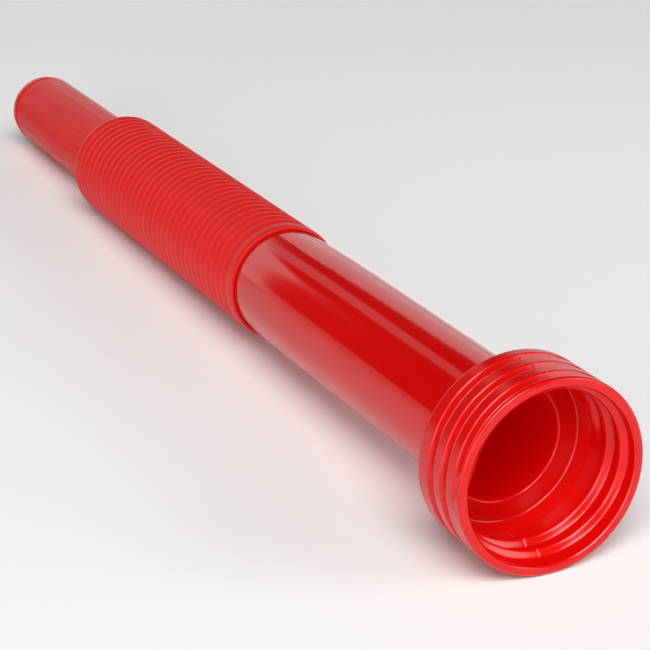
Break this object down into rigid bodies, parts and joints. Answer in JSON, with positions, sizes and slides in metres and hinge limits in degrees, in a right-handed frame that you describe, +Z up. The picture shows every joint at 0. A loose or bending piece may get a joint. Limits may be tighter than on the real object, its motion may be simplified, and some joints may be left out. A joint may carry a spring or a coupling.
{
  "type": "funnel",
  "caption": "Screw-on flexible pouring funnel: threaded mouth, smooth spout tube, corrugated bending sleeve and slim tip tube, in red plastic.",
  "frame": {"origin": "centre of the mouth opening, on the plane of the lip", "axes": "+Y runs along the axis from the mouth to the tip, +Z is up, +X is to the right seen from the mouth"},
  "size_m": [0.05, 0.355, 0.05],
  "materials": {
    "glossy_red_plastic": "gloss",
    "satin_red_sleeve": "satin"
  },
  "bodies": {
    "spout": {"threaded_spout_tube": "glossy_red_plastic", "sleeve_near_collar": "satin_red_sleeve"},
    "convolution_01": {"sleeve_convolution_01": "satin_red_sleeve"},
    "convolution_02": {"sleeve_convolution_02": "satin_red_sleeve"},
    "convolution_03": {"sleeve_convolution_03": "satin_red_sleeve"},
    "convolution_04": {"sleeve_convolution_04": "satin_red_sleeve"},
    "convolution_05": {"sleeve_convolution_05": "satin_red_sleeve"},
    "convolution_06": {"sleeve_convolution_06": "satin_red_sleeve"},
    "convolution_07": {"sleeve_convolution_07": "satin_red_sleeve"},
    "convolution_08": {"sleeve_convolution_08": "satin_red_sleeve"},
    "convolution_09": {"sleeve_convolution_09": "satin_red_sleeve"},
    "convolution_10": {"sleeve_convolution_10": "satin_red_sleeve"},
    "convolution_11": {"sleeve_convolution_11": "satin_red_sleeve"},
    "convolution_12": {"sleeve_convolution_12": "satin_red_sleeve"},
    "convolution_13": {"sleeve_convolution_13": "satin_red_sleeve"},
    "convolution_14": {"sleeve_convolution_14": "satin_red_sleeve"},
    "convolution_15": {"sleeve_convolution_15": "satin_red_sleeve"},
    "convolution_16": {"sleeve_convolution_16": "satin_red_sleeve"},
    "convolution_17": {"sleeve_convolution_17": "satin_red_sleeve"},
    "convolution_18": {"sleeve_convolution_18": "satin_red_sleeve"},
    "convolution_19": {"sleeve_convolution_19": "satin_red_sleeve"},
    "convolution_20": {"sleeve_convolution_20": "satin_red_sleeve"},
    "convolution_21": {"sleeve_convolution_21": "satin_red_sleeve"},
    "convolution_22": {"sleeve_convolution_22": "satin_red_sleeve"},
    "convolution_23": {"sleeve_convolution_23": "satin_red_sleeve"},
    "convolution_24": {"sleeve_convolution_24": "satin_red_sleeve"},
    "convolution_25": {"sleeve_convolution_25": "satin_red_sleeve"},
    "convolution_26": {"sleeve_convolution_26": "satin_red_sleeve"},
    "convolution_27": {"sleeve_convolution_27": "satin_red_sleeve"},
    "convolution_28": {"sleeve_convolution_28": "satin_red_sleeve"},
    "convolution_29": {"sleeve_convolution_29": "satin_red_sleeve"},
    "convolution_30": {"sleeve_convolution_30": "satin_red_sleeve"},
    "convolution_31": {"sleeve_convolution_31": "satin_red_sleeve"},
    "convolution_32": {"sleeve_convolution_32": "satin_red_sleeve"},
    "tip": {"sleeve_far_collar": "satin_red_sleeve", "tip_tube": "glossy_red_plastic"}
  },
  "joints": [
    {"name": "bend_up_01", "type": "hinge", "parent": "spout", "child": "convolution_01", "pos_m": [0, 0.15191, 0], "axis": [1, 0, 0], "range_deg": [-4.55, 4.55], "stiffness_Nm_per_rad": 0.9},
    {"name": "bend_side_01", "type": "hinge", "parent": "convolution_01", "child": "convolution_02", "pos_m": [0, 0.15568, 0], "axis": [0, 0, 1], "range_deg": [-4.55, 4.55], "stiffness_Nm_per_rad": 0.9},
    {"name": "stretch_01", "type": "slide", "parent": "convolution_02", "child": "convolution_03", "axis": [0, 1, 0], "range_m": [0, 0.002], "stiffness_N_per_m": 1500},
    {"name": "bend_up_02", "type": "hinge", "parent": "convolution_03", "child": "convolution_04", "pos_m": [0, 0.16323, 0], "axis": [1, 0, 0], "range_deg": [-4.55, 4.55], "stiffness_Nm_per_rad": 0.9},
    {"name": "bend_side_02", "type": "hinge", "parent": "convolution_04", "child": "convolution_05", "pos_m": [0, 0.167, 0], "axis": [0, 0, 1], "range_deg": [-4.55, 4.55], "stiffness_Nm_per_rad": 0.9},
    {"name": "stretch_02", "type": "slide", "parent": "convolution_05", "child": "convolution_06", "axis": [0, 1, 0], "range_m": [0, 0.002], "stiffness_N_per_m": 1500},
    {"name": "bend_up_03", "type": "hinge", "parent": "convolution_06", "child": "convolution_07", "pos_m": [0, 0.17453, 0], "axis": [1, 0, 0], "range_deg": [-4.55, 4.55], "stiffness_Nm_per_rad": 0.9},
    {"name": "bend_side_03", "type": "hinge", "parent": "convolution_07", "child": "convolution_08", "pos_m": [0, 0.1783, 0], "axis": [0, 0, 1], "range_deg": [-4.55, 4.55], "stiffness_Nm_per_rad": 0.9},
    {"name": "stretch_03", "type": "slide", "parent": "convolution_08", "child": "convolution_09", "axis": [0, 1, 0], "range_m": [0, 0.002], "stiffness_N_per_m": 1500},
    {"name": "bend_up_04", "type": "hinge", "parent": "convolution_09", "child": "convolution_10", "pos_m": [0, 0.18585, 0], "axis": [1, 0, 0], "range_deg": [-4.55, 4.55], "stiffness_Nm_per_rad": 0.9},
    {"name": "bend_side_04", "type": "hinge", "parent": "convolution_10", "child": "convolution_11", "pos_m": [0, 0.18962, 0], "axis": [0, 0, 1], "range_deg": [-4.55, 4.55], "stiffness_Nm_per_rad": 0.9},
    {"name": "stretch_04", "type": "slide", "parent": "convolution_11", "child": "convolution_12", "axis": [0, 1, 0], "range_m": [0, 0.002], "stiffness_N_per_m": 1500},
    {"name": "bend_up_05", "type": "hinge", "parent": "convolution_12", "child": "convolution_13", "pos_m": [0, 0.19715, 0], "axis": [1, 0, 0], "range_deg": [-4.55, 4.55], "stiffness_Nm_per_rad": 0.9},
    {"name": "bend_side_05", "type": "hinge", "parent": "convolution_13", "child": "convolution_14", "pos_m": [0, 0.20092, 0], "axis": [0, 0, 1], "range_deg": [-4.55, 4.55], "stiffness_Nm_per_rad": 0.9},
    {"name": "stretch_05", "type": "slide", "parent": "convolution_14", "child": "convolution_15", "axis": [0, 1, 0], "range_m": [0, 0.002], "stiffness_N_per_m": 1500},
    {"name": "bend_up_06", "type": "hinge", "parent": "convolution_15", "child": "convolution_16", "pos_m": [0, 0.20847, 0], "axis": [1, 0, 0], "range_deg": [-4.55, 4.55], "stiffness_Nm_per_rad": 0.9},
    {"name": "bend_side_06", "type": "hinge", "parent": "convolution_16", "child": "convolution_17", "pos_m": [0, 0.21224, 0], "axis": [0, 0, 1], "range_deg": [-4.55, 4.55], "stiffness_Nm_per_rad": 0.9},
    {"name": "stretch_06", "type": "slide", "parent": "convolution_17", "child": "convolution_18", "axis": [0, 1, 0], "range_m": [0, 0.002], "stiffness_N_per_m": 1500},
    {"name": "bend_up_07", "type": "hinge", "parent": "convolution_18", "child": "convolution_19", "pos_m": [0, 0.21977, 0], "axis": [1, 0, 0], "range_deg": [-4.55, 4.55], "stiffness_Nm_per_rad": 0.9},
    {"name": "bend_side_07", "type": "hinge", "parent": "convolution_19", "child": "convolution_20", "pos_m": [0, 0.22354, 0], "axis": [0, 0, 1], "range_deg": [-4.55, 4.55], "stiffness_Nm_per_rad": 0.9},
    {"name": "stretch_07", "type": "slide", "parent": "convolution_20", "child": "convolution_21", "axis": [0, 1, 0], "range_m": [0, 0.002], "stiffness_N_per_m": 1500},
    {"name": "bend_up_08", "type": "hinge", "parent": "convolution_21", "child": "convolution_22", "pos_m": [0, 0.23109, 0], "axis": [1, 0, 0], "range_deg": [-4.55, 4.55], "stiffness_Nm_per_rad": 0.9},
    {"name": "bend_side_08", "type": "hinge", "parent": "convolution_22", "child": "convolution_23", "pos_m": [0, 0.23486, 0], "axis": [0, 0, 1], "range_deg": [-4.55, 4.55], "stiffness_Nm_per_rad": 0.9},
    {"name": "stretch_08", "type": "slide", "parent": "convolution_23", "child": "convolution_24", "axis": [0, 1, 0], "range_m": [0, 0.002], "stiffness_N_per_m": 1500},
    {"name": "bend_up_09", "type": "hinge", "parent": "convolution_24", "child": "convolution_25", "pos_m": [0, 0.24239, 0], "axis": [1, 0, 0], "range_deg": [-4.55, 4.55], "stiffness_Nm_per_rad": 0.9},
    {"name": "bend_side_09", "type": "hinge", "parent": "convolution_25", "child": "convolution_26", "pos_m": [0, 0.24616, 0], "axis": [0, 0, 1], "range_deg": [-4.55, 4.55], "stiffness_Nm_per_rad": 0.9},
    {"name": "stretch_09", "type": "slide", "parent": "convolution_26", "child": "convolution_27", "axis": [0, 1, 0], "range_m": [0, 0.002], "stiffness_N_per_m": 1500},
    {"name": "bend_up_10", "type": "hinge", "parent": "convolution_27", "child": "convolution_28", "pos_m": [0, 0.25371, 0], "axis": [1, 0, 0], "range_deg": [-4.55, 4.55], "stiffness_Nm_per_rad": 0.9},
    {"name": "bend_side_10", "type": "hinge", "parent": "convolution_28", "child": "convolution_29", "pos_m": [0, 0.25748, 0], "axis": [0, 0, 1], "range_deg": [-4.55, 4.55], "stiffness_Nm_per_rad": 0.9},
    {"name": "stretch_10", "type": "slide", "parent": "convolution_29", "child": "convolution_30", "axis": [0, 1, 0], "range_m": [0, 0.002], "stiffness_N_per_m": 1500},
    {"name": "bend_up_11", "type": "hinge", "parent": "convolution_30", "child": "convolution_31", "pos_m": [0, 0.26502, 0], "axis": [1, 0, 0], "range_deg": [-4.55, 4.55], "stiffness_Nm_per_rad": 0.9},
    {"name": "bend_side_11", "type": "hinge", "parent": "convolution_31", "child": "convolution_32", "pos_m": [0, 0.26878, 0], "axis": [0, 0, 1], "range_deg": [-4.55, 4.55], "stiffness_Nm_per_rad": 0.9},
    {"name": "stretch_11", "type": "slide", "parent": "convolution_32", "child": "tip", "axis": [0, 1, 0], "range_m": [0, 0.002], "stiffness_N_per_m": 1500}
  ],
  "couplings": [
    {"joint": "bend_up_02", "follows": "bend_up_01", "ratio": 1},
    {"joint": "bend_side_02", "follows": "bend_side_01", "ratio": 1},
    {"joint": "stretch_02", "follows": "stretch_01", "ratio": 1},
    {"joint": "bend_up_03", "follows": "bend_up_01", "ratio": 1},
    {"joint": "bend_side_03", "follows": "bend_side_01", "ratio": 1},
    {"joint": "stretch_03", "follows": "stretch_01", "ratio": 1},
    {"joint": "bend_up_04", "follows": "bend_up_01", "ratio": 1},
    {"joint": "bend_side_04", "follows": "bend_side_01", "ratio": 1},
    {"joint": "stretch_04", "follows": "stretch_01", "ratio": 1},
    {"joint": "bend_up_05", "follows": "bend_up_01", "ratio": 1},
    {"joint": "bend_side_05", "follows": "bend_side_01", "ratio": 1},
    {"joint": "stretch_05", "follows": "stretch_01", "ratio": 1},
    {"joint": "bend_up_06", "follows": "bend_up_01", "ratio": 1},
    {"joint": "bend_side_06", "follows": "bend_side_01", "ratio": 1},
    {"joint": "stretch_06", "follows": "stretch_01", "ratio": 1},
    {"joint": "bend_up_07", "follows": "bend_up_01", "ratio": 1},
    {"joint": "bend_side_07", "follows": "bend_side_01", "ratio": 1},
    {"joint": "stretch_07", "follows": "stretch_01", "ratio": 1},
    {"joint": "bend_up_08", "follows": "bend_up_01", "ratio": 1},
    {"joint": "bend_side_08", "follows": "bend_side_01", "ratio": 1},
    {"joint": "stretch_08", "follows": "stretch_01", "ratio": 1},
    {"joint": "bend_up_09", "follows": "bend_up_01", "ratio": 1},
    {"joint": "bend_side_09", "follows": "bend_side_01", "ratio": 1},
    {"joint": "stretch_09", "follows": "stretch_01", "ratio": 1},
    {"joint": "bend_up_10", "follows": "bend_up_01", "ratio": 1},
    {"joint": "bend_side_10", "follows": "bend_side_01", "ratio": 1},
    {"joint": "stretch_10", "follows": "stretch_01", "ratio": 1},
    {"joint": "bend_up_11", "follows": "bend_up_01", "ratio": 1},
    {"joint": "bend_side_11", "follows": "bend_side_01", "ratio": 1},
    {"joint": "stretch_11", "follows": "stretch_01", "ratio": 1}
  ]
}
